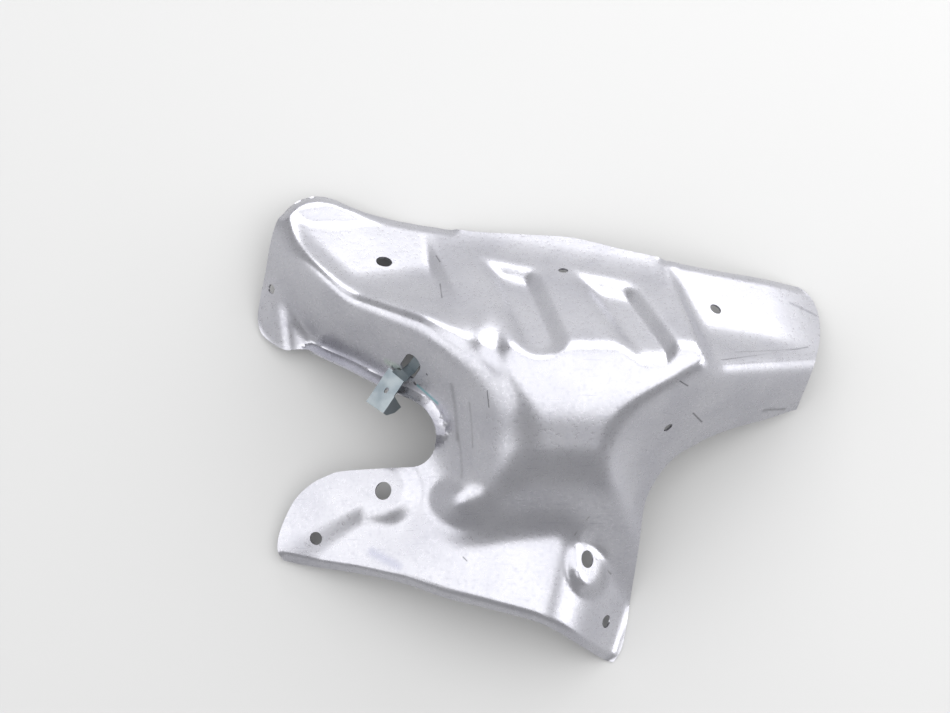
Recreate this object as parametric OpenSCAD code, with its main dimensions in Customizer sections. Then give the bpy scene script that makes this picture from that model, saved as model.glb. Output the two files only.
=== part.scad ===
// Exhaust heat shield: a pressed aluminium sheet that bolts over an exhaust,
// with the small folded steel clip that hooks through it.
// X runs along the long back edge, Y from the foot to the back edge, Z is up.

/* [Sheet] */
// Thickness of the pressed sheet, mm
sheet_thickness = 1.2; // [0.8:0.1:2]
// How far the lip along the back edge of the left arm turns down, mm
back_lip_drop = 7; // [3:0.5:10]
// How far the lip along the back edge of the right arm turns down, mm
right_lip_drop = 5; // [3:0.5:8]
// How far the lip along the foot edge turns down, mm
foot_lip_drop = 6; // [3:0.5:8]
// Width of the flange that turns outward along the notch, mm
notch_flange_width = 6; // [4:0.5:8]

/* [Grooves] */
// Depth of the two pressed grooves in the back face, mm
groove_depth = 9; // [4:0.5:10]
// Half width of the flat groove floor, mm
groove_half_width = 7; // [5:0.5:8]

/* [Holes] */
// Diameter of the bolt hole in the left end of the foot, mm
foot_left_bolt_hole = 11; // [9:0.5:12]
// Diameter of the bolt hole in the right side of the foot, mm
foot_right_bolt_hole = 10.5; // [9:0.5:12]
// Diameter of the bolt hole in the left arm pocket, mm
left_arm_bolt_hole = 10; // [8:0.5:12]
// Diameter of the bolt hole in the right arm pad, mm
right_arm_bolt_hole = 7.5; // [6:0.5:9]
// Diameter of the two drain holes near the corners of the foot, mm
foot_drain_hole = 8; // [6:0.5:9]
// Diameter of the small holes in the arms and the back face, mm
small_hole = 6; // [4:0.5:7]

/* [Clip] */
// Width of the folded clip strip, mm
clip_width = 13; // [10:0.5:14]
// Thickness of the clip strip, mm
clip_thickness = 1.2; // [0.8:0.1:2]
// Length of the clip tab outside the sheet, mm
clip_tab_length = 23; // [16:1:28]
// Depth of the side leg of the clip, mm
clip_leg_depth = 9; // [5:0.5:12]

/* [Hidden] */

// Offsets that put the middle of the plan at the origin
centre_x = 0.54;
centre_y = 9.4;
floor_z = -0.8;

// Faces of the pressed form: a point x, y, z and the slopes along X and Y
pad_left = [-95, 107, 40, -0.215, -0.85];
pad_right = [108, 75, 53, -0.52, -0.64];
roof_left = [-150, 107, 59.5, -0.065, -0.85];
roof_inner = [-104, 70, 88, 0.12, -0.85];
roof_right = [108, 36, 92.7, -0.8, -0.64];
lobe_side = [-152, 117, 51, 1.594, 0.139];
front_left = [-115, 79, 81, 1.468, 1.553];
front_right = [107, 29, 106, -1.385, 2.3];
neck_left = [-23, -5, 106, 1.5, 0.3];
neck_right = [40, -20, 103, -2, 0.4];
back_face = [16, 102, 44, 0, -1.2];
back_flange = [16, 107, 36.5, 0.077, -0.85];
neck_upper = [0, -8, 112, 0, 0.5];
neck_lower = [0, -34, 97, 0, 1.55];
crown_top = 121;
pocket_wall = [-96, 91, 53, -0.08, -1.6];
pocket_edge = [-152, 117, 0, 0.72, 0.7];
arm_end_left = [-28, 60, 88, -1.5, -1];
arm_end_right = [80, 85, 62, 0.9, -0.8];
wedge_wall = [108.6, 54.8, 65.6, -0.594, -1.43];
block_side_left = [-64, 100, 38, 2, -0.6];
block_fold = [-48, 76, 75.2, 1, -0.465];
block_side_right = [84, 85, 58, -3, -1.7];
foot_centre = [0, -60, 62, 0, 0.13];
foot_left = [-31, -60, 62, 0.44, -0.03];
foot_right = [41, -113, 17, -1.25, 0.42];
foot_limit = [0, 0, 70, 0, -1];
seat_right = [29, -77, 48, -0.97, 0];
lobe_skirt = [-174, 66, 2.5, 0.5, 0.6];
grooves = [[[-23, 120], [-1, 44]], [[30, 111], [64, 34]]];
groove_shelves = [[-15, 103, 42.8, 0.25, -0.35], [43, 91, 57.2, 0.25, -0.35]];
saddle_place = [-47, -43];
saddle_rise = 12;

// Outline of the sheet in plan, edge by edge
back_edge = [[-160, 141], [-154, 148], [-147, 153], [-138, 155], [-128, 152.5], [-119, 148],
    [-109, 144.5], [-91, 141], [-73, 138], [-55, 135], [-37, 132], [-6, 129], [19, 126.5],
    [38, 121], [52, 116], [67, 111.5], [78, 107.5], [88, 105], [111, 103], [142, 101], [166, 98]];
right_edge = [[166, 98], [171.5, 93], [175.5, 86], [177, 75], [175, 60], [170, 46], [166, 34],
    [162, 19]];
front_edge = [[162, 19], [155, 16.5], [142, 11.5], [130, 7.5], [117, 3], [102, -3.5], [92, -9],
    [83, -14.5], [75, -22.5], [69, -31], [64, -41], [61.5, -51], [60, -66], [58, -87],
    [54.5, -114], [51, -129], [46, -137]];
foot_edge = [[46, -137], [40, -135.5], [26, -128.5], [10, -120], [-4, -114], [-30, -107],
    [-57, -100], [-82, -91], [-111, -84], [-139, -79], [-157, -75]];
left_edge = [[-157, -75], [-160.5, -70], [-160.5, -62], [-157, -51], [-150, -38], [-140, -29],
    [-129, -24], [-120, -22], [-93, -21.5], [-75, -21], [-68, -18], [-64, -13], [-62, -5],
    [-63, 1], [-65.5, 6], [-69, 11], [-73, 14.5], [-79, 18.5], [-98, 28.5], [-116, 39.5],
    [-126, 45], [-135, 50], [-141, 53.5], [-145, 55.5], [-149, 56], [-156, 55.5],
    [-161, 57.5], [-165, 60], [-169, 63], [-173, 67], [-175, 71], [-176, 77], [-175, 84],
    [-173, 92], [-171, 101], [-169, 110], [-167, 120], [-165, 128], [-163, 134], [-160, 141]];

// Holes: place in plan and diameter
hole_foot_left = [-94.6, -35.3, foot_left_bolt_hole];
hole_foot_right = [28, -77.5, foot_right_bolt_hole];
hole_arm_left = [-95, 106, left_arm_bolt_hole];
hole_arm_right = [107, 73.5, right_arm_bolt_hole];
hole_back = [15, 99, small_hole];
hole_lobe = [-166, 92.5, small_hole];
hole_front = [74.5, -2.5, small_hole];
drain_left = [-136.5, -62.5, foot_drain_hole];
drain_right = [41, -113, foot_drain_hole];
all_holes = [hole_foot_left, hole_foot_right, hole_arm_left, hole_arm_right, hole_back,
    hole_lobe, hole_front, drain_left, drain_right];

// Window that the clip hooks through: its place on the notch wall, and its size
window_place = [-77, 36];
window_width = 12;
window_top = 3.5;
window_foot = -9.6;
window_corner = 2;
window_dot = [8.3, -10.1, 3];

// Clip tab: place of its root and its turn about X, Y and Z
tab_root = [-86.4, 32.2, 55.7];
tab_turn = [-6, 14, 144.4];
tab_slot_place = [-0.4, 9.8];
tab_slot_width = 2.2;
leg_start = 11;
leg_turn = -62;
// Foot of the plate, which stands just above the sheet, and depth of the tongue below it
plate_gap = 0.7;
plate_foot = -7.6;
tongue_depth = 4.4;
tongue_length = 13;

function face(p, f) = f[2] + f[3] * (p[0] - f[0]) + f[4] * (p[1] - f[1]);
function lower(a, b, k) = min(a, b) - pow(max(k - abs(a - b), 0), 2) / (4 * k);
function upper(a, b, k) = max(a, b) + pow(max(k - abs(a - b), 0), 2) / (4 * k);
function limit(t) = min(max(t, 0), 1);
function ease(t) = limit(t) * limit(t) * (3 - 2 * limit(t));
function along(p, a, b) = limit(((p - a) * (b - a)) / ((b - a) * (b - a)));
function line_gap(p, a, b) = norm(p - a - along(p, a, b) * (b - a));
function path_gap(p, path, i0, i1) = min([for (i = [i0 : i1 - 1]) line_gap(p, path[i], path[i + 1])]);

// Left arm: a roof with the bolt pocket pressed into it
function pocket_floor(p) = face(p, pad_left);
function pocket_rim(p) = pocket_floor(p) + 1.1 * (p[1] - 136) - 0.1 * (p[0] + 130);
function pocket(p) =
    upper(upper(upper(upper(pocket_floor(p), face(p, pocket_wall), 8),
        pocket_floor(p) + 1.1 * (8 - face(p, pocket_edge)), 6),
        pocket_floor(p) - (p[0] + 146), 6),
        pocket_rim(p), 5);
function roof(p) =
    lower(upper(face(p, roof_left), face(p, roof_inner), 6), face(p, lobe_side), 34);
function arm_left(p) =
    lower(lower(roof(p), pocket(p), 7) - 7 * ease((p[0] + 72) / 34), face(p, arm_end_left), 8);

// Right arm: a roof with a flat bolt pad and a wedge wall between them
function arm_right(p) =
    lower(lower(face(p, roof_right), upper(face(p, pad_right), face(p, wedge_wall), 6), 5),
        face(p, arm_end_right), 6);

// Centre block with its grooves, and the neck below it
function groove(p, g, shelf) =
    upper(face(p, back_face) - groove_depth + 1.1 * max(0, line_gap(p, g[0], g[1]) - groove_half_width),
        face(p, shelf), 5);
function block_plain(p) =
    lower(lower(lower(upper(face(p, back_face), face(p, back_flange), 3),
        face(p, block_side_left), 8), face(p, block_fold), 12), face(p, block_side_right), 6);
function block(p) =
    lower(lower(block_plain(p), groove(p, grooves[0], groove_shelves[0]), 4),
        groove(p, grooves[1], groove_shelves[1]), 4);
function ridge(p) =
    lower(lower(lower(upper(upper(block(p), arm_left(p), 14), arm_right(p), 10),
        face(p, neck_upper), 26), crown_top, 8), face(p, neck_lower), 16);

// Fold at the left of the block: left of it the form drops by a small step
function fold_x(y) = min(-21, -21 - 0.205 * (y - 7), -30 - 0.667 * (y - 51));
function fold_step(p) =
    2 * (1 - ease((p[0] - fold_x(p[1]) + 16) / 24)) * ease((p[0] + 66) / 24)
        * ease((p[1] + 35) / 40) * (1 - ease((p[1] - 38) / 20));
function body(p) =
    lower(lower(ridge(p) - fold_step(p), upper(face(p, front_left), face(p, neck_left), 50), 32),
        upper(face(p, front_right), face(p, neck_right), 45), 24);

// Foot: an arch with a raised seat at its left end and a tilted seat at its right
function seat_step(p) =
    min(max(norm(p - [-94, -35]) - 12, 0), max(0, -51 + 0.36 * (p[0] + 133) - p[1], 0.8 * (p[0] + 96)));
function seat_spread(p) = 11 + 0.4 * max(0, -100 - p[0]);
function foot_end(p) = face(p, foot_left) + 4 * (1 - ease(seat_step(p) / seat_spread(p)));
function saddle(p) =
    saddle_rise * (1 - ease(norm([(p[0] - saddle_place[0]) / 24, (p[1] - saddle_place[1]) / 18])));
function foot(p) =
    lower(lower(lower(face(p, foot_centre), foot_end(p), 22), face(p, foot_right), 24) + saddle(p),
        face(p, foot_limit), 12);
function seat_mix(p) = 1 - ease((norm([p[0] - 29, 0.7 * (p[1] + 81)]) - 7) / 7);

// Small apron below the outer end of the left arm
function skirt(p) =
    lower(face(p, lobe_skirt), 16, 6) - 60 * ease((p[0] + 154) / 30) - 60 * ease((40 - p[1]) / 30);
function form(p) =
    let (m = seat_mix(p))
    upper(upper(body(p), foot(p), 20), skirt(p), 8) * (1 - m) + face(p, seat_right) * m;

// Height of the upper side of the sheet, with its lips and its flange
function height(p) =
    let (
        a = pow(max(0, 1 - path_gap(p, back_edge, 0, 9) / 7), 2),
        b = pow(max(0, 1 - path_gap(p, back_edge, 16, 20) / 6), 2),
        c = pow(max(0, 1 - path_gap(p, foot_edge, 0, 10) / 6), 2),
        d = max(0, notch_flange_width - path_gap(p, left_edge, 12, 22))
    )
    upper(form(p) - back_lip_drop * a - right_lip_drop * b - foot_lip_drop * c + 1.8 * d, 2, 5);
function slope(p) =
    let (h = height(p)) [height(p + [1, 0]) - h, height(p + [0, 1]) - h];
function normal(p) = let (g = slope(p)) [-g[0], -g[1], 1] / norm([g[0], g[1], 1]);
function on_top(p) = [p[0], p[1], height(p)];

// Smooth curve through part of an edge, sampled at even steps of its length
function curve_point(path, i, t) =
    let (
        n = len(path) - 1,
        a = path[max(i - 1, 0)],
        b = path[i],
        c = path[min(i + 1, n)],
        d = path[min(i + 2, n)]
    )
    0.5 * (2 * b + (c - a) * t + (2 * a - 5 * b + 4 * c - d) * t * t
        + (3 * b - a - 3 * c + d) * t * t * t);
function dense(path, i0, i1) =
    concat([for (i = [i0 : i1 - 1]) for (j = [0 : 3]) curve_point(path, i, j / 4)], [path[i1]]);
function lengths(line) =
    [for (i = 0, s = 0; i < len(line);
        s = s + (i < len(line) - 1 ? norm(line[i + 1] - line[i]) : 0), i = i + 1) s];
function sample(line, steps) =
    let (
        s = lengths(line),
        whole = s[len(s) - 1],
        along_x = [for (i = [0 : len(s) - 1]) [s[i], line[i][0]]],
        along_y = [for (i = [0 : len(s) - 1]) [s[i], line[i][1]]]
    )
    [for (t = steps) [lookup(t * whole, along_x), lookup(t * whole, along_y)]];
function edge(path, i0, i1, steps) = sample(dense(path, i0, i1), steps);
function backward(list) = [for (i = [len(list) - 1 : -1 : 0]) list[i]];

// Steps from 0 to 1, even ones or ones that grow smaller toward both ends
function even(n) = [for (i = [0 : n]) i / n];
function closer(n) = [for (i = [0 : n]) i / n - 0.07 * sin(360 * i / n)];

// Grid of plan points between four edges: bottom and top run right, left and right run up
function grid(bottom, top, left, right, us, vs) =
    [for (j = [0 : len(vs) - 1]) for (i = [0 : len(us) - 1])
        let (u = us[i], v = vs[j], n = len(us) - 1)
        (1 - v) * bottom[i] + v * top[i] + (1 - u) * left[j] + u * right[j]
            - (1 - u) * (1 - v) * bottom[0] - u * (1 - v) * bottom[n]
            - (1 - u) * v * top[0] - u * v * top[n]];

steps_arm_left = closer(22);
steps_centre = even(19);
steps_arm_right = closer(18);
steps_up = closer(22);
steps_foot_up = closer(18);
steps_foot_left = closer(15);

corner_notch = left_edge[12];
corner_front = front_edge[10];
corner_back_left = back_edge[10];
corner_back_right = back_edge[15];
corner_foot = foot_edge[6];

cut_left = sample([corner_notch, corner_back_left], steps_up);
cut_right = sample([corner_front, corner_back_right], steps_up);
cut_neck = sample([corner_notch, corner_front], steps_centre);
cut_foot = sample([corner_foot, corner_notch], steps_foot_up);

// Every patch: plan points, cells along, cells up, and which sides are free edges
patch_arm_left = [
    grid(backward(edge(left_edge, 12, 29, steps_arm_left)), edge(back_edge, 0, 10, steps_arm_left),
        edge(left_edge, 29, 39, steps_up), cut_left, steps_arm_left, steps_up),
    22, 22, [true, true, true, false]];
patch_centre = [
    grid(cut_neck, edge(back_edge, 10, 15, steps_centre), cut_left, cut_right, steps_centre, steps_up),
    19, 22, [false, true, false, false]];
patch_arm_right = [
    grid(backward(edge(front_edge, 0, 10, steps_arm_right)), edge(back_edge, 15, 20, steps_arm_right),
        cut_right, backward(edge(right_edge, 0, 7, steps_up)), steps_arm_right, steps_up),
    18, 22, [true, true, false, true]];
patch_foot = [
    grid(backward(edge(foot_edge, 0, 6, steps_centre)), cut_neck, cut_foot,
        backward(edge(front_edge, 10, 16, steps_foot_up)), steps_centre, steps_foot_up),
    19, 18, [true, false, false, true]];
patch_foot_left = [
    grid(backward(edge(foot_edge, 6, 10, steps_foot_left)), edge(left_edge, 4, 12, steps_foot_left),
        edge(left_edge, 0, 4, steps_foot_up), cut_foot, steps_foot_left, steps_foot_up),
    15, 18, [true, true, true, false]];
patches = [patch_arm_left, patch_centre, patch_arm_right, patch_foot, patch_foot_left];

function patch_size(k) = len(patches[k][0]);
function start(k) = k == 0 ? 0 : start(k - 1) + patch_size(k - 1);
total = start(4) + patch_size(4);
function at(k, i, j) = start(k) + j * (patches[k][1] + 1) + i;
function two(a, b, c, d) = [[a, b, c], [a, c, d]];
function patch_faces(k) =
    let (n = patches[k][1], m = patches[k][2], free = patches[k][3])
    concat(
        [for (j = [0 : m - 1]) for (i = [0 : n - 1])
            each two(at(k, i, j), at(k, i, j + 1), at(k, i + 1, j + 1), at(k, i + 1, j))],
        [for (j = [0 : m - 1]) for (i = [0 : n - 1])
            each two(total + at(k, i, j), total + at(k, i + 1, j), total + at(k, i + 1, j + 1),
                total + at(k, i, j + 1))],
        free[0] ? [for (i = [0 : n - 1])
            each two(at(k, i, 0), at(k, i + 1, 0), total + at(k, i + 1, 0), total + at(k, i, 0))] : [],
        free[1] ? [for (i = [0 : n - 1])
            each two(at(k, i + 1, m), at(k, i, m), total + at(k, i, m), total + at(k, i + 1, m))] : [],
        free[2] ? [for (j = [0 : m - 1])
            each two(at(k, 0, j + 1), at(k, 0, j), total + at(k, 0, j), total + at(k, 0, j + 1))] : [],
        free[3] ? [for (j = [0 : m - 1])
            each two(at(k, n, j), at(k, n, j + 1), total + at(k, n, j + 1), total + at(k, n, j))] : []
    );

plan_points = [for (k = [0 : 4]) each patches[k][0]];
top_points = [for (p = plan_points) on_top(p)];
under_points = [for (i = [0 : len(plan_points) - 1])
    top_points[i] - sheet_thickness * normal(plan_points[i])];

// Puts a child at a place of the sheet: X level, Y up the slope, Z square to the sheet
module square_to_sheet(p) {
    n = normal(p);
    translate(on_top(p))
        rotate([acos(n[2]), 0, atan2(n[1], n[0]) + 90])
            children();
}

module round_hole(h) {
    square_to_sheet([h[0], h[1]])
        translate([0, 0, -6])
            cylinder(h = 10, d = h[2], $fn = 48);
}

module window() {
    half = window_width / 2;
    inner = half - window_corner;
    translate([0, 0, -6])
        linear_extrude(height = 11) {
            translate([-half, window_foot + window_corner])
                square([window_width, window_top - window_foot - window_corner]);
            translate([-inner, window_foot])
                square([2 * inner, window_corner + 1]);
            translate([0, window_top])
                circle(r = half, $fn = 40);
            for (x = [-inner, inner])
                translate([x, window_foot + window_corner])
                    circle(r = window_corner, $fn = 24);
        }
    translate([window_dot[0], window_dot[1], -6])
        cylinder(h = 11, d = window_dot[2], $fn = 24);
}

module pressed_sheet() {
    polyhedron(
        points = concat(top_points, under_points),
        faces = [for (k = [0 : 4]) each patch_faces(k)],
        convexity = 10
    );
}

module shield_panel() {
    color("#c9cacf")
        translate([-centre_x, -centre_y, floor_z])
            difference() {
                pressed_sheet();
                for (h = all_holes) round_hole(h);
                square_to_sheet(window_place) window();
            }
}

// Plate of the clip that lies on the notch wall, and the tongue behind the window
module clip_riser() {
    t = clip_thickness;
    translate([0, 0, plate_gap])
        linear_extrude(height = t)
            polygon([[-3, plate_foot], [3.6, plate_foot], [3.6, -13], [1.8, -19.5], [-8.5, -22.5],
                [-6, -14], [-3, -11]]);
    translate([-3, plate_foot - t, -tongue_depth])
        cube([6.6, t, tongue_depth + plate_gap + t]);
    translate([-2.6, plate_foot - t, -tongue_depth])
        cube([6.2, tongue_length, t]);
}

// Tab that stands out over the flange, with a small slot and the folded side leg
module clip_tab() {
    t = clip_thickness;
    half = clip_width / 2;
    difference() {
        translate([-half, -8, 0])
            cube([clip_width, clip_tab_length + 8, t]);
        translate([tab_slot_place[0], tab_slot_place[1], -1])
            linear_extrude(height = t + 2) {
                circle(d = tab_slot_width, $fn = 24);
                translate([-tab_slot_width / 2, 0])
                    square([tab_slot_width, 1.6]);
                translate([0, 1.6])
                    circle(d = tab_slot_width, $fn = 24);
            }
    }
    translate([-half, 0, t / 2])
        rotate([0, leg_turn, 0])
            translate([0, 0, -t / 2])
                linear_extrude(height = t)
                    polygon([[0, leg_start], [-clip_leg_depth, leg_start + 3],
                        [-0.8 * clip_leg_depth, leg_start + 8], [-3, clip_tab_length],
                        [0, clip_tab_length]]);
    translate([-half, leg_start, t / 2])
        rotate([-90, 0, 0])
            cylinder(h = clip_tab_length - leg_start, d = t, $fn = 24);
}

// The tab is cut back to the lower third of the plate that it grows from
module clip_bracket() {
    reach = 3 * clip_tab_length;
    color("#9fb0b8")
        translate([-centre_x, -centre_y, floor_z]) {
            square_to_sheet(window_place) clip_riser();
            difference() {
                translate(tab_root) rotate(tab_turn) clip_tab();
                square_to_sheet(window_place)
                    translate([-reach, -reach, -reach])
                        cube([2 * reach, 2 * reach, reach + plate_gap + clip_thickness / 3]);
            }
        }
}

shield_panel();
clip_bracket();
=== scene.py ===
"""Looks of the exhaust heat shield: the pressed sheet, its clip, their finishes, the studio and the camera.

The sheet is one height field over its plan outline, on a finer grid than the solid has. It is made of
named plane faces that are joined by smooth minima and maxima.
"""

from __future__ import annotations

import logging
import math
from dataclasses import dataclass
from enum import Enum
from typing import Sequence

import bmesh
import bpy
import numpy as np
from mathutils import Matrix, Vector

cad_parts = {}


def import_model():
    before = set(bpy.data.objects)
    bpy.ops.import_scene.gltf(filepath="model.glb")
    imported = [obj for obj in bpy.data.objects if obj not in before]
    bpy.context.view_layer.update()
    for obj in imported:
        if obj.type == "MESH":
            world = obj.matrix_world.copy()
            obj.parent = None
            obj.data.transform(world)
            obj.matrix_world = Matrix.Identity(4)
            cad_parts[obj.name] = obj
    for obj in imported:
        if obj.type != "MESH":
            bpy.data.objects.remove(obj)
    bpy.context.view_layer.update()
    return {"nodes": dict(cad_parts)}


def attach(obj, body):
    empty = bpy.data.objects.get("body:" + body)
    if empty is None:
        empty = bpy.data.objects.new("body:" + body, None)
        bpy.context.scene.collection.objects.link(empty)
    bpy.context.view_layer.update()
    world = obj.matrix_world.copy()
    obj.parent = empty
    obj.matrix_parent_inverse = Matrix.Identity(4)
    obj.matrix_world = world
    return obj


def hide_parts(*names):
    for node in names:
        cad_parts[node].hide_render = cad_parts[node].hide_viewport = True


LOG = logging.getLogger("heat_shield")
MM = 0.001

Point = tuple[float, float]


class Finish(Enum):
    """Material slots of the record."""

    SHEET = "aluminium_sheet"
    ZINC = "zinc_steel"


@dataclass(frozen=True)
class Face:
    """A plane face of the pressed form, in millimetres: a point and the slopes along X and Y."""

    x: float
    y: float
    z: float
    slope_x: float
    slope_y: float

    def at(self, x: np.ndarray, y: np.ndarray) -> np.ndarray:
        """Height of the plane.

        Args:
            x: Places along X.
            y: Places along Y.

        Returns:
            The heights at these places.
        """
        return self.z + self.slope_x * (x - self.x) + self.slope_y * (y - self.y)


@dataclass(frozen=True)
class Hole:
    """A round hole: its place in plan and its diameter, in millimetres."""

    x: float
    y: float
    diameter: float


# Middle of the footprint and height of the lowest place, in millimetres: the origin of the frame.
CENTRE = (0.54, 9.4)
FLOOR_Z = -0.8
# Places of the two colours among a mix node's inputs, and of the mixed colour among its outputs.
MIX_A = 6
MIX_B = 7
MIX_RESULT = 2

BACK_EDGE: tuple[Point, ...] = (
    (-160, 141), (-154, 148), (-147, 153), (-138, 155), (-128, 152.5), (-119, 148), (-109, 144.5),
    (-91, 141), (-73, 138), (-55, 135), (-37, 132), (-6, 129), (19, 126.5), (38, 121), (52, 116),
    (67, 111.5), (78, 107.5), (88, 105), (111, 103), (142, 101), (166, 98),
)
RIGHT_EDGE: tuple[Point, ...] = (
    (166, 98), (171.5, 93), (175.5, 86), (177, 75), (175, 60), (170, 46), (166, 34), (162, 19),
)
FRONT_EDGE: tuple[Point, ...] = (
    (162, 19), (155, 16.5), (142, 11.5), (130, 7.5), (117, 3), (102, -3.5), (92, -9), (83, -14.5),
    (75, -22.5), (69, -31), (64, -41), (61.5, -51), (60, -66), (58, -87), (54.5, -114), (51, -129),
    (46, -137),
)
FOOT_EDGE: tuple[Point, ...] = (
    (46, -137), (40, -135.5), (26, -128.5), (10, -120), (-4, -114), (-30, -107), (-57, -100),
    (-82, -91), (-111, -84), (-139, -79), (-157, -75),
)
LEFT_EDGE: tuple[Point, ...] = (
    (-157, -75), (-160.5, -70), (-160.5, -62), (-157, -51), (-150, -38), (-140, -29), (-129, -24),
    (-120, -22), (-93, -21.5), (-75, -21), (-68, -18), (-64, -13), (-62, -5), (-63, 1), (-65.5, 6),
    (-69, 11), (-73, 14.5), (-79, 18.5), (-98, 28.5), (-116, 39.5), (-126, 45), (-135, 50),
    (-141, 53.5), (-145, 55.5), (-149, 56), (-156, 55.5), (-161, 57.5), (-165, 60), (-169, 63),
    (-173, 67), (-175, 71), (-176, 77), (-175, 84), (-173, 92), (-171, 101), (-169, 110),
    (-167, 120), (-165, 128), (-163, 134), (-160, 141),
)


def lower(a: np.ndarray, b: np.ndarray | float, k: float) -> np.ndarray:
    """Smooth minimum of two heights.

    Args:
        a: First heights.
        b: Second heights.
        k: Width of the blend in height.

    Returns:
        The blended lower heights.
    """
    return np.minimum(a, b) - np.maximum(k - np.abs(a - b), 0) ** 2 / (4 * k)


def upper(a: np.ndarray, b: np.ndarray | float, k: float) -> np.ndarray:
    """Smooth maximum of two heights.

    Args:
        a: First heights.
        b: Second heights.
        k: Width of the blend in height.

    Returns:
        The blended upper heights.
    """
    return np.maximum(a, b) + np.maximum(k - np.abs(a - b), 0) ** 2 / (4 * k)


def ease(t: np.ndarray) -> np.ndarray:
    """Smooth step from 0 to 1.

    Args:
        t: Values, of which only those from 0 to 1 are in the step.

    Returns:
        The eased values.
    """
    t = np.clip(t, 0, 1)
    return t * t * (3 - 2 * t)


def line_gap(x: np.ndarray, y: np.ndarray, a: Point, b: Point) -> np.ndarray:
    """Distance in plan to a straight line between two points.

    Args:
        x: Places along X.
        y: Places along Y.
        a: Start of the line.
        b: End of the line.

    Returns:
        The distances.
    """
    dx, dy = b[0] - a[0], b[1] - a[1]
    t = np.clip(((x - a[0]) * dx + (y - a[1]) * dy) / (dx * dx + dy * dy), 0, 1)
    return np.hypot(x - a[0] - t * dx, y - a[1] - t * dy)


def path_gap(x: np.ndarray, y: np.ndarray, path: Sequence[Point]) -> np.ndarray:
    """Distance in plan to a path.

    Args:
        x: Places along X.
        y: Places along Y.
        path: Points of the path.

    Returns:
        The distances.
    """
    gap = line_gap(x, y, path[0], path[1])
    for a, b in zip(path[1:-1], path[2:]):
        gap = np.minimum(gap, line_gap(x, y, a, b))
    return gap


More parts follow.
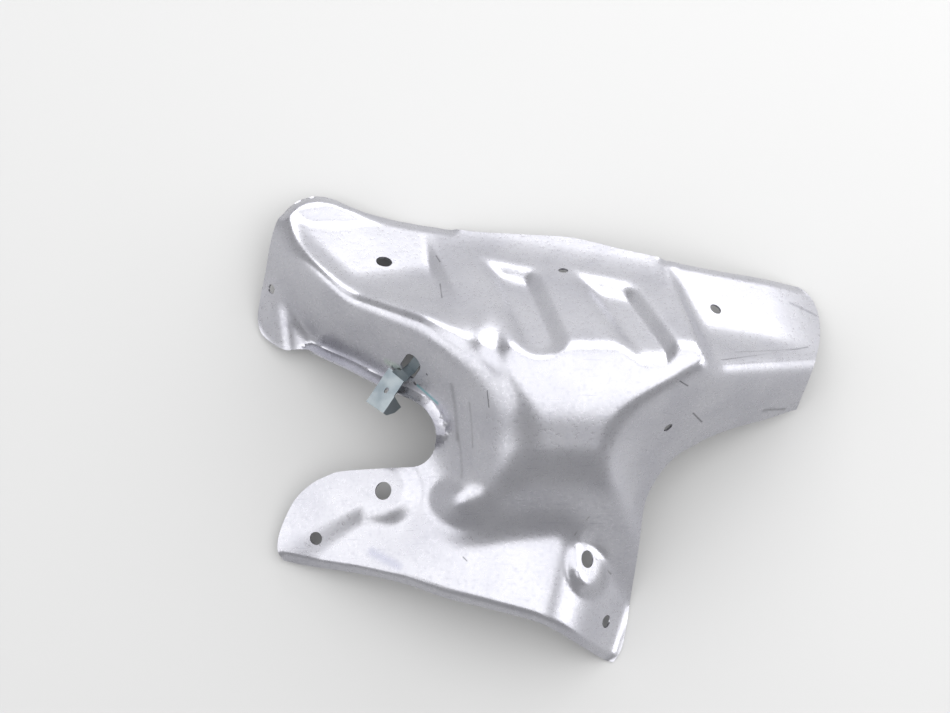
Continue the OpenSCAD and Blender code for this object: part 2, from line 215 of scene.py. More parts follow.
@dataclass(frozen=True)
class PressedForm:
    """Height of the pressed sheet over its plan, in millimetres.

    The faces carry the solid's values. The skirt of the lobe alone differs: it is made of three faces
    here, and of one face with a level cap in the solid.
    """

    pad_left: Face = Face(-95, 107, 40, -0.215, -0.85)
    pad_right: Face = Face(108, 75, 53, -0.52, -0.64)
    roof_left: Face = Face(-150, 107, 59.5, -0.065, -0.85)
    roof_inner: Face = Face(-104, 70, 88, 0.12, -0.85)
    roof_right: Face = Face(108, 36, 92.7, -0.8, -0.64)
    lobe_side: Face = Face(-152, 117, 51, 1.594, 0.139)
    front_left: Face = Face(-115, 79, 81, 1.468, 1.553)
    front_right: Face = Face(107, 29, 106, -1.385, 2.3)
    neck_left: Face = Face(-23, -5, 106, 1.5, 0.3)
    neck_right: Face = Face(40, -20, 103, -2, 0.4)
    back_face: Face = Face(16, 102, 44, 0, -1.2)
    back_flange: Face = Face(16, 107, 36.5, 0.077, -0.85)
    neck_upper: Face = Face(0, -8, 112, 0, 0.5)
    neck_lower: Face = Face(0, -34, 97, 0, 1.55)
    crown_top: float = 121.0
    pocket_wall: Face = Face(-96, 91, 53, -0.08, -1.6)
    pocket_edge: Face = Face(-152, 117, 0, 0.72, 0.7)
    arm_end_left: Face = Face(-28, 60, 88, -1.5, -1)
    arm_end_right: Face = Face(80, 85, 62, 0.9, -0.8)
    wedge_wall: Face = Face(108.6, 54.8, 65.6, -0.594, -1.43)
    block_side_left: Face = Face(-64, 100, 38, 2, -0.6)
    block_fold: Face = Face(-48, 76, 75.2, 1, -0.465)
    block_side_right: Face = Face(84, 85, 58, -3, -1.7)
    foot_centre: Face = Face(0, -60, 62, 0, 0.13)
    foot_left: Face = Face(-31, -60, 62, 0.44, -0.03)
    foot_right: Face = Face(41, -113, 17, -1.25, 0.42)
    foot_limit: Face = Face(0, 0, 70, 0, -1)
    seat_right: Face = Face(29, -77, 48, -0.97, 0)
    grooves: tuple[tuple[Point, Point], ...] = (((-23, 120), (-1, 44)), ((30, 111), (64, 34)))
    groove_shelves: tuple[Face, ...] = (
        Face(-15, 103, 42.8, 0.25, -0.35),
        Face(43, 91, 57.2, 0.25, -0.35),
    )
    saddle_place: Point = (-47.0, -43.0)
    saddle_rise: float = 12.0
    groove_depth: float = 9.0
    groove_half_width: float = 7.0
    lobe_skirt: Face = Face(-174, 66, 2.5, 0.9, 0.5)
    skirt_right: Face = Face(-143, 56, 12, -0.8, 0.3)
    skirt_back: Face = Face(-174, 95, 19, 0.9, -1)
    back_lip_drop: float = 7.0
    right_lip_drop: float = 5.0
    foot_lip_drop: float = 6.0
    notch_flange_width: float = 6.0

    def _arm_left(self, x: np.ndarray, y: np.ndarray) -> np.ndarray:
        """Roof of the left arm with the bolt pocket pressed into it."""
        floor = self.pad_left.at(x, y)
        pocket = upper(floor, self.pocket_wall.at(x, y), 8)
        pocket = upper(pocket, floor + 1.1 * (8 - self.pocket_edge.at(x, y)), 6)
        pocket = upper(pocket, floor - (x + 146), 6)
        pocket = upper(pocket, floor + 1.1 * (y - 136) - 0.1 * (x + 130), 5)
        roof = upper(self.roof_left.at(x, y), self.roof_inner.at(x, y), 6)
        roof = lower(roof, self.lobe_side.at(x, y), 34)
        arm = lower(roof, pocket, 7) - 7 * ease((x + 72) / 34)
        return lower(arm, self.arm_end_left.at(x, y), 8)

    def _arm_right(self, x: np.ndarray, y: np.ndarray) -> np.ndarray:
        """Roof, bolt pad and wedge wall of the right arm."""
        pad = upper(self.pad_right.at(x, y), self.wedge_wall.at(x, y), 6)
        return lower(lower(self.roof_right.at(x, y), pad, 5), self.arm_end_right.at(x, y), 6)

    def _block(self, x: np.ndarray, y: np.ndarray) -> np.ndarray:
        """Centre block with its two grooves."""
        block = upper(self.back_face.at(x, y), self.back_flange.at(x, y), 3)
        block = lower(lower(block, self.block_side_left.at(x, y), 8), self.block_fold.at(x, y), 12)
        block = lower(block, self.block_side_right.at(x, y), 6)
        for (start, end), shelf in zip(self.grooves, self.groove_shelves):
            side = 1.1 * np.maximum(0, line_gap(x, y, start, end) - self.groove_half_width)
            groove = upper(self.back_face.at(x, y) - self.groove_depth + side, shelf.at(x, y), 5)
            block = lower(block, groove, 4)
        return block

    def _body(self, x: np.ndarray, y: np.ndarray) -> np.ndarray:
        """Arms, centre block and neck with their front walls."""
        top = upper(upper(self._block(x, y), self._arm_left(x, y), 14), self._arm_right(x, y), 10)
        top = lower(lower(top, self.neck_upper.at(x, y), 26), self.crown_top, 8)
        top = lower(top, self.neck_lower.at(x, y), 16)
        valley = np.minimum(np.minimum(-21, -21 - 0.205 * (y - 7)), -30 - 0.667 * (y - 51))
        drop = 2 * (1 - ease((x - valley + 16) / 24)) * ease((x + 66) / 24)
        top = top - drop * ease((y + 35) / 40) * (1 - ease((y - 38) / 20))
        wall_left = upper(self.front_left.at(x, y), self.neck_left.at(x, y), 50)
        wall_right = upper(self.front_right.at(x, y), self.neck_right.at(x, y), 45)
        return lower(lower(top, wall_left, 32), wall_right, 24)

    def _foot(self, x: np.ndarray, y: np.ndarray) -> np.ndarray:
        """Arch of the foot with the step around its left seat."""
        from_seat = np.maximum(np.hypot(x + 94, y + 35) - 12, 0)
        from_edge = np.maximum(np.maximum(0, -51 + 0.36 * (x + 133) - y), 0.8 * (x + 96))
        spread = 11 + 0.4 * np.maximum(0, -100 - x)
        left = self.foot_left.at(x, y) + 4 * (1 - ease(np.minimum(from_seat, from_edge) / spread))
        foot = lower(self.foot_centre.at(x, y), left, 22)
        away = np.hypot((x - self.saddle_place[0]) / 24, (y - self.saddle_place[1]) / 18)
        foot = lower(foot, self.foot_right.at(x, y), 24) + self.saddle_rise * (1 - ease(away))
        return lower(foot, self.foot_limit.at(x, y), 12)

    def height(self, x: np.ndarray, y: np.ndarray) -> np.ndarray:
        """Height of the upper side, with the lips and the flange.

        Args:
            x: Places along X.
            y: Places along Y.

        Returns:
            The heights.
        """
        mix = 1 - ease((np.hypot(x - 29, 0.7 * (y + 81)) - 7) / 7)
        form = upper(self._body(x, y), self._foot(x, y), 20)
        skirt = lower(self.lobe_skirt.at(x, y), self.skirt_right.at(x, y), 16)
        skirt = lower(skirt, self.skirt_back.at(x, y), 10)
        form = upper(form, skirt, 8) * (1 - mix) + self.seat_right.at(x, y) * mix
        form = form - self.back_lip_drop * np.maximum(0, 1 - path_gap(x, y, BACK_EDGE[0:10]) / 7) ** 2
        form = form - self.right_lip_drop * np.maximum(0, 1 - path_gap(x, y, BACK_EDGE[16:]) / 6) ** 2
        form = form - self.foot_lip_drop * np.maximum(0, 1 - path_gap(x, y, FOOT_EDGE) / 6) ** 2
        flange = np.maximum(0, self.notch_flange_width - path_gap(x, y, LEFT_EDGE[12:23]))
        return upper(form + 1.8 * flange, 2, 5)

    def height_at(self, x: float, y: float) -> float:
        """Height of the upper side at one place.

        Args:
            x: Place along X.
            y: Place along Y.

        Returns:
            The height.
        """
        return float(self.height(np.array(float(x)), np.array(float(y))))

    def normal(self, x: np.ndarray, y: np.ndarray) -> np.ndarray:
        """Directions square to the upper side.

        Args:
            x: Places along X.
            y: Places along Y.

        Returns:
            Unit vectors, in a last axis of three.
        """
        here = self.height(x, y)
        n = np.stack([here - self.height(x + 1, y), here - self.height(x, y + 1), np.ones_like(here)], -1)
        return n / np.linalg.norm(n, axis=-1, keepdims=True)

    def place(self, x: float, y: float) -> Matrix:
        """Frame on the sheet: X level, Y up the slope, Z square to the sheet.

        Args:
            x: Place along X.
            y: Place along Y.

        Returns:
            The frame in millimetres.
        """
        n = self.normal(np.array(float(x)), np.array(float(y)))
        turn = Matrix.Rotation(math.atan2(n[1], n[0]) + math.pi / 2, 4, "Z")
        tilt = Matrix.Rotation(math.acos(n[2]), 4, "X")
        return Matrix.Translation((x, y, self.height_at(x, y))) @ turn @ tilt


TO_FRAME = Matrix.Scale(MM, 4) @ Matrix.Translation((-CENTRE[0], -CENTRE[1], FLOOR_Z))


def smooth_edge(path: Sequence[Point], first: int, last: int, steps: np.ndarray) -> np.ndarray:
    """Smooth curve through part of an edge, sampled along its length.

    Args:
        path: Points of the whole edge.
        first: Index of the first point of the part.
        last: Index of the last point of the part.
        steps: Shares of the length, from 0 to 1.

    Returns:
        The sampled points.
    """
    points = np.array(path, float)
    top = len(points) - 1
    line = []
    for i in range(first, last):
        a, b, c, d = (points[min(max(i + j, 0), top)] for j in (-1, 0, 1, 2))
        for t in np.arange(8) / 8:
            cubic = (2 * a - 5 * b + 4 * c - d) * t * t + (3 * b - a - 3 * c + d) * t ** 3
            line.append(0.5 * (2 * b + (c - a) * t + cubic))
    line.append(points[last])
    return along_line(np.array(line), steps)


def along_line(line: np.ndarray, steps: np.ndarray) -> np.ndarray:
    """Points at shares of a line's length.

    Args:
        line: Points of the line.
        steps: Shares of the length, from 0 to 1.

    Returns:
        The sampled points.
    """
    run = np.concatenate([[0], np.cumsum(np.linalg.norm(np.diff(line, axis=0), axis=1))])
    return np.stack([np.interp(steps * run[-1], run, line[:, i]) for i in (0, 1)], -1)


def even(cells: int) -> np.ndarray:
    """Even steps from 0 to 1.

    Args:
        cells: Number of cells.

    Returns:
        The steps.
    """
    return np.arange(cells + 1) / cells


def closer(cells: int) -> np.ndarray:
    """Steps from 0 to 1 that grow smaller toward both ends.

    Args:
        cells: Number of cells.

    Returns:
        The steps.
    """
    return even(cells) - 0.07 * np.sin(2 * np.pi * even(cells))


@dataclass(frozen=True)
class Patch:
    """A four sided part of the plan. Bottom and top run right, left and right run up."""

    bottom: np.ndarray
    top: np.ndarray
    left: np.ndarray
    right: np.ndarray
    along: np.ndarray
    up: np.ndarray

    def points(self) -> np.ndarray:
        """Plan points between the four sides.

        Returns:
            An array of rows up, columns along, and two coordinates.
        """
        u = self.along[None, :, None]
        v = self.up[:, None, None]
        rows = (1 - v) * self.bottom[None] + v * self.top[None]
        columns = (1 - u) * self.left[:, None] + u * self.right[:, None]
        low = (1 - u) * self.bottom[0] + u * self.bottom[-1]
        high = (1 - u) * self.top[0] + u * self.top[-1]
        return rows + columns - (1 - v) * low - v * high


def plan_patches(fine: int) -> list[Patch]:
    """Patches that cover the sheet's plan.

    Args:
        fine: How many cells stand for each cell of the solid.

    Returns:
        The patches: left arm, centre, right arm, foot and left foot.
    """
    arm_left, centre, arm_right = closer(22 * fine), even(19 * fine), closer(18 * fine)
    up, foot_up, foot_left = closer(22 * fine), closer(18 * fine), closer(15 * fine)
    notch, front = LEFT_EDGE[12], FRONT_EDGE[10]
    cut_left = along_line(np.array([notch, BACK_EDGE[10]], float), up)
    cut_right = along_line(np.array([front, BACK_EDGE[15]], float), up)
    cut_neck = along_line(np.array([notch, front], float), centre)
    cut_foot = along_line(np.array([FOOT_EDGE[6], notch], float), foot_up)
    return [
        Patch(smooth_edge(LEFT_EDGE, 12, 29, arm_left)[::-1], smooth_edge(BACK_EDGE, 0, 10, arm_left),
              smooth_edge(LEFT_EDGE, 29, 39, up), cut_left, arm_left, up),
        Patch(cut_neck, smooth_edge(BACK_EDGE, 10, 15, centre), cut_left, cut_right, centre, up),
        Patch(smooth_edge(FRONT_EDGE, 0, 10, arm_right)[::-1], smooth_edge(BACK_EDGE, 15, 20, arm_right),
              cut_right, smooth_edge(RIGHT_EDGE, 0, 7, up)[::-1], arm_right, up),
        Patch(smooth_edge(FOOT_EDGE, 0, 6, centre)[::-1], cut_neck, cut_foot,
              smooth_edge(FRONT_EDGE, 10, 16, foot_up)[::-1], centre, foot_up),
        Patch(smooth_edge(FOOT_EDGE, 6, 10, foot_left)[::-1], smooth_edge(LEFT_EDGE, 4, 12, foot_left),
              smooth_edge(LEFT_EDGE, 0, 4, foot_up), cut_foot, foot_left, foot_up),
    ]


@dataclass(frozen=True)
class Window:
    """The keyhole opening that the clip hooks through, and the small hole under it, in millimetres."""

    place: Point = (-77.0, 36.0)
    width: float = 12.0
    top: float = 3.5
    foot: float = -9.6
    corner: float = 2.0
    dot: Hole = Hole(8.3, -10.1, 3)

    def outline(self) -> list[Point]:
        """Outline of the window in its own plane.

        Returns:
            Points in order, in millimetres.
        """
        half = self.width / 2
        points: list[Point] = []
        for centre_x, centre_y, radius, start, end, steps in (
            (half - self.corner, self.foot + self.corner, self.corner, -90, 0, 4),
            (0.0, self.top, half, 0, 180, 18),
            (self.corner - half, self.foot + self.corner, self.corner, 180, 270, 4),
        ):
            for i in range(steps + 1):
                angle = math.radians(start + (end - start) * i / steps)
                points.append((centre_x + radius * math.cos(angle), centre_y + radius * math.sin(angle)))
        return points


def new_object(name: str, work: bmesh.types.BMesh) -> bpy.types.Object:
    """Makes an object of a mesh and frees the working mesh.

    Args:
        name: Name of the object.
        work: The working mesh.

    Returns:
        The new object.
    """
    mesh = bpy.data.meshes.new(name)
    work.to_mesh(mesh)
    work.free()
    item = bpy.data.objects.new(name, mesh)
    bpy.context.scene.collection.objects.link(item)
    return item


def cut_away(target: bpy.types.Object, cutter: bpy.types.Object) -> None:
    """Cuts a shape out of an object and removes the cutter.

    Args:
        target: The object to cut.
        cutter: The shape to take away.
    """
    modifier = target.modifiers.new("cut", "BOOLEAN")
    modifier.operation = "DIFFERENCE"
    modifier.solver = "EXACT"
    modifier.object = cutter
    apply_modifiers(target)
    shape = cutter.data
    bpy.data.objects.remove(cutter)
    bpy.data.meshes.remove(shape)


def apply_modifiers(item: bpy.types.Object) -> None:
    """Replaces an object's mesh with its evaluated one.

    Args:
        item: The object.
    """
    graph = bpy.context.evaluated_depsgraph_get()
    graph.update()
    mesh = bpy.data.meshes.new_from_object(item.evaluated_get(graph))
    old = item.data
    item.modifiers.clear()
    item.data = mesh
    mesh.name = item.name
    bpy.data.meshes.remove(old)


def smooth_shade(item: bpy.types.Object, degrees: float) -> None:
    """Smooth shading with sharp edges above an angle.

    Args:
        item: The object.
        degrees: Angle from which an edge is sharp.
    """
    item.data.polygons.foreach_set("use_smooth", [True] * len(item.data.polygons))
    item.data.set_sharp_from_angle(angle=math.radians(degrees))


def paint(item: bpy.types.Object, material: bpy.types.Material) -> None:
    """Gives an object one material.

    Args:
        item: The object.
        material: Its material.
    """
    item.data.materials.clear()
    item.data.materials.append(material)
    item.data.polygons.foreach_set("material_index", [0] * len(item.data.polygons))


def linear(colour: str) -> tuple[float, float, float, float]:
    """Turns a hex colour into a linear one.

    Args:
        colour: A colour such as "#c9cacf".

    Returns:
        Red, green, blue and alpha.
    """
    values = [int(colour[i : i + 2], 16) / 255 for i in (1, 3, 5)]
    red, green, blue = (v / 12.92 if v <= 0.04045 else ((v + 0.055) / 1.055) ** 2.4 for v in values)
    return red, green, blue, 1.0


def add_node(tree: bpy.types.NodeTree, kind: str, inputs: dict[str | int, object] | None = None,
             **settings: object) -> bpy.types.Node:
    """Adds a node with its settings and links.

    Args:
        tree: The node tree.
        kind: Type of the node, without its leading ShaderNode.
        inputs: Its inputs by name or place. A socket is linked, anything else is the input's value.
        **settings: Its properties.

    Returns:
        The node.
    """
    node = tree.nodes.new("ShaderNode" + kind)
    for key, value in settings.items():
        setattr(node, key, value)
    for key, value in (inputs or {}).items():
        if isinstance(value, bpy.types.NodeSocket):
            tree.links.new(value, node.inputs[key])
        else:
            node.inputs[key].default_value = value
    return node


def new_tree(name: str) -> tuple[bpy.types.Material, bpy.types.NodeTree]:
    """Makes a material without nodes.

    Args:
        name: Name of the material.

    Returns:
        The material and its empty node tree.
    """
    material = bpy.data.materials.new(name)
    material.use_nodes = True
    material.node_tree.nodes.clear()
    return material, material.node_tree


def streak_mask(tree: bpy.types.NodeTree, place: bpy.types.NodeSocket, ends: Sequence[Vector],
                width: float) -> bpy.types.NodeSocket:
    """Mask of a soft streak along a line in space.

    Args:
        tree: The node tree.
        place: The object's own place.
        ends: Start and end of the line, in metres.
        width: Half width of the streak, in metres.

    Returns:
        1 on the line, falling to 0 at the half width.
    """
    span = ends[1] - ends[0]
    offset = add_node(tree, "VectorMath", {0: place, 1: ends[0]}, operation="SUBTRACT").outputs["Vector"]
    along = add_node(tree, "VectorMath", {0: offset, 1: span}, operation="DOT_PRODUCT").outputs["Value"]
    share = add_node(tree, "Math", {0: along, 1: span.length_squared}, operation="DIVIDE", use_clamp=True)
    nearest = add_node(tree, "VectorMath", {0: span, "Scale": share.outputs[0]}, operation="SCALE")
    away = add_node(tree, "VectorMath", {0: offset, 1: nearest.outputs["Vector"]}, operation="DISTANCE")
    fade = {"Value": away.outputs["Value"], "From Max": width, "To Min": 1.0, "To Max": 0.0}
    return add_node(tree, "MapRange", fade, interpolation_type="SMOOTHSTEP").outputs["Result"]


@dataclass(frozen=True)
class Mark:
    """A scratch, stain or line of painted shade on the sheet: its ends in plan and half width, in
    millimetres.
    """

    start: Point
    end: Point
    width: float
    colour: str
    strength: float = 0.8


@dataclass(frozen=True)
class PressedAluminium:
    """Aluminium sheet, cold rolled and then pressed, dulled a little by handling.

    The rolled skin is satin, so the lamps show as soft white fields with blurred borders, and the
    faces between them stay grey. Clouds and flecks of oxide keep a flat face from looking even, and
    a few rubs and scratches run where the sheet was slid about. Some marks are painted shade: dark
    lines in the crease beside the left bolt pad and grey streaks down the left flank of the neck.
    """

    bright: str = "#b6b6bc"
    cloudy: str = "#acacb3"
    fleck: str = "#a2a2ab"
    rub: str = "#8e8e97"
    metallic: float = 0.92
    roughness: tuple[float, float] = (0.25, 0.35)
    # Clouds of oxide are about as wide as a palm.
    cloud_size: float = 36.0
    # Rolled grain is under 0.2 mm, too fine to show, so it is drawn as coarse as it needs to show.
    grain_size: float = 2.4
    # Pits of the skin are drawn one pixel wide for the same reason.
    speck_size: float = 0.67
    # Rubs are patches of fine lines that lie along X, a finger wide.
    rub_size: float = 17.0
    rub_stretch: float = 22.0
    marks: tuple[Mark, ...] = (
        Mark((-73.3, 25.1), (-61.4, 13.6), 2.0, "#5f9a9c"),
        Mark((-67.6, 29.6), (-67.4, 29.4), 1.1, "#23232f", 1.0),
        Mark((-92.0, 40.5), (-85.0, 36.5), 4.5, "#a9b8ad", 0.6),
        # Painted shade: three soft grey streaks down the left flank of the neck, beside its shoulder ridge.
        Mark((-52.7, 21.0), (-49.5, -8.0), 3.0, "#77777b", 0.45),
        Mark((-49.0, -6.0), (-47.0, -30.0), 2.4, "#7d7d80", 0.4),
        Mark((-42.3, 10.0), (-40.5, -14.0), 1.4, "#808084", 0.5),
        Mark((-32.0, 15.0), (-31.0, 6.0), 0.7, "#4c4c50"),
        Mark((78.2, 19.2), (83.4, 17.4), 0.7, "#35353a"),
        Mark((89.4, 6.3), (96.5, 3.3), 0.9, "#505054"),
        Mark((105.2, 35.2), (165.7, 53.7), 0.8, "#6a6a70", 0.7),
        Mark((114.9, 42.6), (159.8, 51.4), 0.7, "#74747a", 0.5),
        Mark((157.7, 84.2), (174.4, 78.1), 2.0, "#85858c", 0.6),
        Mark((138.2, 15.1), (153.4, 17.9), 2.0, "#6c6c70", 0.6),
        Mark((-46.1, -76.4), (-43.8, -78.8), 0.6, "#4a4a4e"),
        Mark((-101.4, -71.8), (-85.3, -80.8), 5.0, "#9294a6", 0.5),
        Mark((33.5, -77.0), (43.4, -84.9), 0.8, "#6d6d6b", 0.7),
        Mark((28.2, -54.0), (20.2, -63.9), 0.7, "#7b7b79", 0.7),
        # Painted shade: two dark lines in the crease between the left bolt pad and the centre block.
        Mark((-63.2, 111.6), (-60.6, 106.4), 0.7, "#5a5a60"),
        Mark((-60.3, 89.1), (-58.8, 77.1), 0.7, "#5a5a60"),
    )

    def material(self, form: PressedForm) -> bpy.types.Material:
        """Makes the finish.

        Args:
            form: Form of the sheet, for the height of its marks.

        Returns:
            The material.
        """
        material, tree = new_tree("cold_rolled_aluminium")
        place = add_node(tree, "TexCoord").outputs["Object"]
        cloud, grain, speck = (
            add_node(tree, "TexNoise", {"Vector": place, "Scale": 1 / (size * MM), "Detail": detail})
            for size, detail in ((self.cloud_size, 3), (self.grain_size, 4), (self.speck_size, 2))
        )
        lines = add_node(tree, "Mapping", {"Vector": place, "Scale": (1, self.rub_stretch, 1)})
        rubs = add_node(tree, "TexNoise", {"Vector": lines.outputs[0], "Scale": 1 / (self.rub_size * MM)})
        colour = linear(self.bright)
        for noise, low, high, most, other in (
            (cloud, 0.35, 0.7, 1.0, self.cloudy),
            (grain, 0.52, 0.75, 0.5, self.fleck),
            (rubs, 0.66, 0.74, 0.4, self.rub),
        ):
            share = {"Value": noise.outputs[0], "From Min": low, "From Max": high, "To Max": most}
            factor = add_node(tree, "MapRange", share, interpolation_type="SMOOTHSTEP").outputs["Result"]
            layer = {"Factor": factor, MIX_A: colour, MIX_B: linear(other)}
            colour = add_node(tree, "Mix", layer, data_type="RGBA").outputs[MIX_RESULT]
        for mark in self.marks:
            ends = [TO_FRAME @ Vector((x, y, form.height_at(x, y))) for x, y in (mark.start, mark.end)]
            mask = streak_mask(tree, place, ends, mark.width * MM)
            factor = add_node(tree, "Math", {0: mask, 1: mark.strength}, operation="MULTIPLY").outputs[0]
            layer = {"Factor": factor, MIX_A: colour, MIX_B: linear(mark.colour)}
            colour = add_node(tree, "Mix", layer, data_type="RGBA").outputs[MIX_RESULT]
        low, high = self.roughness
        satin = {"Value": grain.outputs[0], "From Min": 0.3, "From Max": 0.7, "To Min": low, "To Max": high}
        roughness = add_node(tree, "MapRange", satin).outputs["Result"]
        relief = {0: speck.outputs[0], 1: 0.4, 2: grain.outputs[0]}
        height = add_node(tree, "Math", relief, operation="MULTIPLY_ADD").outputs[0]
        bump = add_node(tree, "Bump", {"Height": height, "Strength": 0.1, "Distance": 0.6 * MM})
        shader = add_node(tree, "BsdfPrincipled", {"Base Color": colour, "Metallic": self.metallic,
                          "Roughness": roughness, "Normal": bump.outputs["Normal"]})
        add_node(tree, "OutputMaterial", {"Surface": shader.outputs["BSDF"]})
        return material


@dataclass(frozen=True)
class ZincPlatedSteel:
    """Steel strip, barrel plated with zinc: smoother than the sheet, blue grey and a little blotchy."""

    bright: str = "#858c90"
    dull: str = "#737c82"
    metallic: float = 0.85
    roughness: tuple[float, float] = (0.3, 0.42)
    # Blotches are as wide as the strip.
    blotch_size: float = 11.0
    # Crystals of the plating are far finer, and are drawn as coarse as they need to show.
    grain_size: float = 1.4

    def material(self) -> bpy.types.Material:
        """Makes the finish.

        Returns:
            The material.
        """
        material, tree = new_tree("zinc_plated_steel")
        place = add_node(tree, "TexCoord").outputs["Object"]
        blotch, grain = (
            add_node(tree, "TexNoise", {"Vector": place, "Scale": 1 / (size * MM), "Detail": detail})
            for size, detail in ((self.blotch_size, 4), (self.grain_size, 3))
        )
        share = {"Value": blotch.outputs[0], "From Min": 0.35, "From Max": 0.65}
        factor = add_node(tree, "MapRange", share, interpolation_type="SMOOTHSTEP").outputs["Result"]
        layer = {"Factor": factor, MIX_A: linear(self.bright), MIX_B: linear(self.dull)}
        colour = add_node(tree, "Mix", layer, data_type="RGBA").outputs[MIX_RESULT]
        low, high = self.roughness
        sheen = {"Value": blotch.outputs[0], "From Min": 0.3, "From Max": 0.7, "To Min": low, "To Max": high}
        roughness = add_node(tree, "MapRange", sheen).outputs["Result"]
        bump = add_node(tree, "Bump", {"Height": grain.outputs[0], "Strength": 0.12, "Distance": 0.4 * MM})
        shader = add_node(tree, "BsdfPrincipled", {"Base Color": colour, "Metallic": self.metallic,
                          "Roughness": roughness, "Normal": bump.outputs["Normal"]})
        add_node(tree, "OutputMaterial", {"Surface": shader.outputs["BSDF"]})
        return material


@dataclass(frozen=True)
class FloorPaint:
    """Matt white emulsion on a board: no gloss, so it takes the part's soft shadow."""

    colour: str = "#b4b4b4"
    roughness: float = 0.9

    def material(self) -> bpy.types.Material:
        """Makes the finish.

        Returns:
            The material.
        """
        material, tree = new_tree("matt_white_emulsion")
        looks = {"Base Color": linear(self.colour), "Roughness": self.roughness}
        shader = add_node(tree, "BsdfPrincipled", looks)
        add_node(tree, "OutputMaterial", {"Surface": shader.outputs["BSDF"]})
        return material


@dataclass(frozen=True)
class SheetPanel:
    """The pressed sheet as a fine mesh with its holes cut through."""

    form: PressedForm
    finish: PressedAluminium = PressedAluminium()
    thickness: float = 1.2
    fine: int = 3
    sharp_angle: float = 34.0
    cutter_depth: float = 10.0
    round_sides: int = 64
    # How far the window's cutter reaches below and above the upper side.
    window_reach: tuple[float, float] = (-6.0, 5.0)
    window: Window = Window()
    holes: tuple[Hole, ...] = (
        Hole(-94.6, -35.3, 11),
        Hole(28, -77.5, 10.5),
        Hole(-95, 106, 10),
        Hole(107, 73.5, 7.5),
        Hole(15, 99, 6),
        Hole(-166, 92.5, 6),
        Hole(74.5, -2.5, 6),
        Hole(-136.5, -62.5, 8),
        Hole(41, -113, 8),
    )

    def build(self) -> bpy.types.Object:
        """Makes the panel.

        Returns:
            The panel's object, in the row frame.
        """
        work = bmesh.new()
        for patch in plan_patches(self.fine):
            self._add_patch(work, patch.points())
        bmesh.ops.remove_doubles(work, verts=work.verts, dist=1e-6)
        bmesh.ops.recalc_face_normals(work, faces=work.faces)
        if sum(face.normal.z for face in work.faces) < 0:
            bmesh.ops.reverse_faces(work, faces=work.faces)
        bmesh.ops.solidify(work, geom=work.faces[:], thickness=self.thickness * MM)
        bmesh.ops.recalc_face_normals(work, faces=work.faces)
        panel = new_object("pressed_sheet", work)
        cutter = new_object("sheet_cutters", self._cutters())
        cut_away(panel, cutter)
        smooth_shade(panel, self.sharp_angle)
        self.dress(panel)
        return panel

    def dress(self, panel: bpy.types.Object) -> None:
        """Finishes the panel and puts it in the place of the solid.

        Args:
            panel: The panel's object.
        """
        paint(panel, self.finish.material(self.form))
        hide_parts("shield_panel")
        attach(panel, "root")

    def _add_patch(self, work: bmesh.types.BMesh, plan: np.ndarray) -> None:
        """Adds a patch of the upper side."""
        rows, columns = plan.shape[:2]
        before = len(work.verts)
        bmesh.ops.create_grid(work, x_segments=columns - 1, y_segments=rows - 1, size=0.5)
        work.verts.ensure_lookup_table()
        x, y = plan[..., 0], plan[..., 1]
        z = self.form.height(x, y)
        for vert in work.verts[before:]:
            i = round((vert.co.x + 0.5) * (columns - 1))
            j = round((vert.co.y + 0.5) * (rows - 1))
            vert.co = TO_FRAME @ Vector((x[j, i], y[j, i], z[j, i]))

    def _cutters(self) -> bmesh.types.BMesh:
        """Round cutters and the window's cutter in one mesh."""
        work = bmesh.new()
        for hole in self.holes:
            self._add_round(work, self.form.place(hole.x, hole.y), hole.diameter, self.round_sides)
        window = self.form.place(*self.window.place)
        dot = self.window.dot
        dot_place = window @ Matrix.Translation((dot.x, dot.y, 0))
        self._add_round(work, dot_place, dot.diameter, self.round_sides // 2)
        low, high = self.window_reach
        ring = [work.verts.new(TO_FRAME @ window @ Vector((x, y, low))) for x, y in self.window.outline()]
        face = work.faces.new(ring)
        grown = bmesh.ops.extrude_face_region(work, geom=[face])["geom"]
        step = (TO_FRAME @ window).to_3x3() @ Vector((0, 0, high - low))
        bmesh.ops.translate(work, verts=[v for v in grown if isinstance(v, bmesh.types.BMVert)], vec=step)
        bmesh.ops.recalc_face_normals(work, faces=work.faces)
        return work

    def _add_round(self, work: bmesh.types.BMesh, place: Matrix, diameter: float, sides: int) -> None:
        """Adds a round cutter square to the sheet."""
        matrix = TO_FRAME @ place @ Matrix.Translation((0, 0, -1))
        bmesh.ops.create_cone(work, cap_ends=True, segments=sides, radius1=diameter / 2,
                              radius2=diameter / 2, depth=self.cutter_depth, matrix=matrix)


@dataclass(frozen=True)
class ClipBracket:
    """The folded clip: the solid's own shape with edges that the press has rounded."""

    finish: ZincPlatedSteel = ZincPlatedSteel()
    merge_gap: float = 0.001
    sharp_angle: float = 40.0
    flat_angle: float = 16.0
    edge_radius: float = 0.28
    rounding_steps: int = 3

    def build(self, solid: bpy.types.Object) -> bpy.types.Object:
        """Makes the clip.

        Args:
            solid: The solid clip, whose mesh is copied.

        Returns:
            The clip's object, in the row frame.
        """
        work = bmesh.new()
        work.from_mesh(solid.data)
        bmesh.ops.remove_doubles(work, verts=work.verts, dist=self.merge_gap * MM)
        clip = new_object("folded_clip", work)
        # The solid's stored normals don't fit the rounded edges.
        clip.data.attributes.remove(clip.data.attributes["custom_normal"])
        rounding = clip.modifiers.new("rounded_edges", "BEVEL")
        rounding.width = self.edge_radius * MM
        rounding.segments = self.rounding_steps
        rounding.limit_method = "ANGLE"
        rounding.angle_limit = math.radians(self.sharp_angle)
        apply_modifiers(clip)
        smooth_shade(clip, self.flat_angle)
        self.dress(clip)
        return clip

    def dress(self, clip: bpy.types.Object) -> None:
        """Finishes the clip and puts it in the place of the solid.

        Args:
            clip: The clip's object.
        """
        paint(clip, self.finish.material())
        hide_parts("clip_bracket")
        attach(clip, "root")


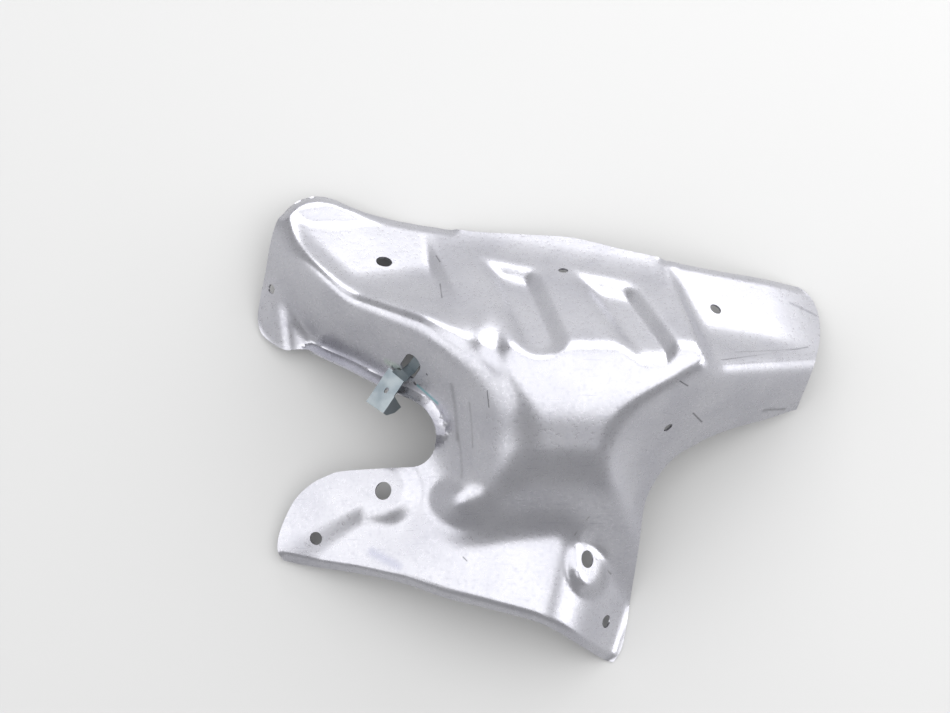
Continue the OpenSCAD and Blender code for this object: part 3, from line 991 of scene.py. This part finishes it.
@dataclass(frozen=True)
class Lamp:
    """A soft rectangular lamp: its place and size in metres, and its power in watts."""

    name: str
    place: tuple[float, float, float]
    size: tuple[float, float]
    power: float

    def build(self, aim: Vector) -> None:
        """Makes the lamp.

        Args:
            aim: Place that it looks at, in metres.
        """
        data = bpy.data.lights.new(self.name, "AREA")
        data.shape = "RECTANGLE"
        data.size, data.size_y = self.size
        data.energy = self.power
        lamp = bpy.data.objects.new(self.name, data)
        lamp.location = self.place
        lamp.rotation_euler = (aim - Vector(self.place)).to_track_quat("-Z", "Y").to_euler()
        bpy.context.scene.collection.objects.link(lamp)


@dataclass(frozen=True)
class Studio:
    """Camera, lamps, floor and world.

    The sheet mirrors what stands round it, so each lamp has its own faces: the top lamp the level ones,
    the back lamp the bolt pads and the flange, the side lamp the right end of the foot, and the left
    lamp the ridge of the left arm.
    """

    elevation: float = 80.0
    distance: float = 1200.0
    pixel: float = 0.6
    picture_width: int = 950
    sensor_width: float = 36.0
    aim: tuple[float, float, float] = (-39.0, 43.5, 55.0)
    lamp_aim: tuple[float, float, float] = (0.0, 0.0, 0.05)
    floor_size: float = 3.0
    floor_finish: FloorPaint = FloorPaint()
    world_strength: float = 0.45
    lamps: tuple[Lamp, ...] = (
        Lamp("top_lamp", (0.08, 0.15, 1.25), (2.75, 2.1), 34.0),
        Lamp("back_lamp", (0.5, 1.3, 0.44), (1.9, 0.88), 21.0),
        Lamp("side_lamp", (1.5, 0.0, 0.42), (1.6, 0.84), 13.0),
        Lamp("left_lamp", (-1.45, -0.1, 0.66), (1.5, 0.9), 8.0),
    )

    def build(self) -> None:
        """Makes everything that isn't the part."""
        self._camera()
        self._floor()
        self._world()
        for lamp in self.lamps:
            lamp.build(Vector(self.lamp_aim))

    def _camera(self) -> None:
        """Camera at the photograph's viewing angle."""
        angle = math.radians(self.elevation)
        up = Vector((0, math.sin(angle), math.cos(angle)))
        back = Vector((0, -math.cos(angle), math.sin(angle)))
        target = Vector((self.aim[0], 0, self.aim[2])) + up * self.aim[1]
        data = bpy.data.cameras.new("camera")
        data.sensor_width = self.sensor_width
        data.lens = self.distance / self.pixel / self.picture_width * self.sensor_width
        data.clip_start = 0.01
        camera = bpy.data.objects.new("camera", data)
        turn = Matrix((Vector((1, 0, 0)), up, back)).transposed().to_4x4()
        camera.matrix_world = Matrix.Translation(TO_FRAME @ (target + back * self.distance)) @ turn
        bpy.context.scene.collection.objects.link(camera)
        bpy.context.scene.camera = camera

    def _floor(self) -> None:
        """A wide pale floor that keeps the part's shadow."""
        work = bmesh.new()
        bmesh.ops.create_grid(work, x_segments=1, y_segments=1, size=self.floor_size)
        floor = new_object("floor", work)
        paint(floor, self.floor_finish.material())

    def _world(self) -> None:
        """Plain white light from all round."""
        world = bpy.data.worlds.new("studio")
        bpy.context.scene.world = world
        world.use_nodes = True
        world.node_tree.nodes.clear()
        light = add_node(world.node_tree, "Background", {0: (1, 1, 1, 1), "Strength": self.world_strength})
        add_node(world.node_tree, "OutputWorld", {"Surface": light.outputs["Background"]})


def main() -> None:
    """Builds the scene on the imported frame."""
    logging.basicConfig(level=logging.INFO, format="%(message)s")
    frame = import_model()
    pieces = (SheetPanel(PressedForm()).build(), ClipBracket().build(frame["nodes"]["clip_bracket"]))
    for piece in pieces:
        LOG.info("%s has %d faces", piece.name, len(piece.data.polygons))
    Studio().build()
    bpy.context.scene.view_settings.view_transform = "Standard"


if __name__ == "__main__":
    main()
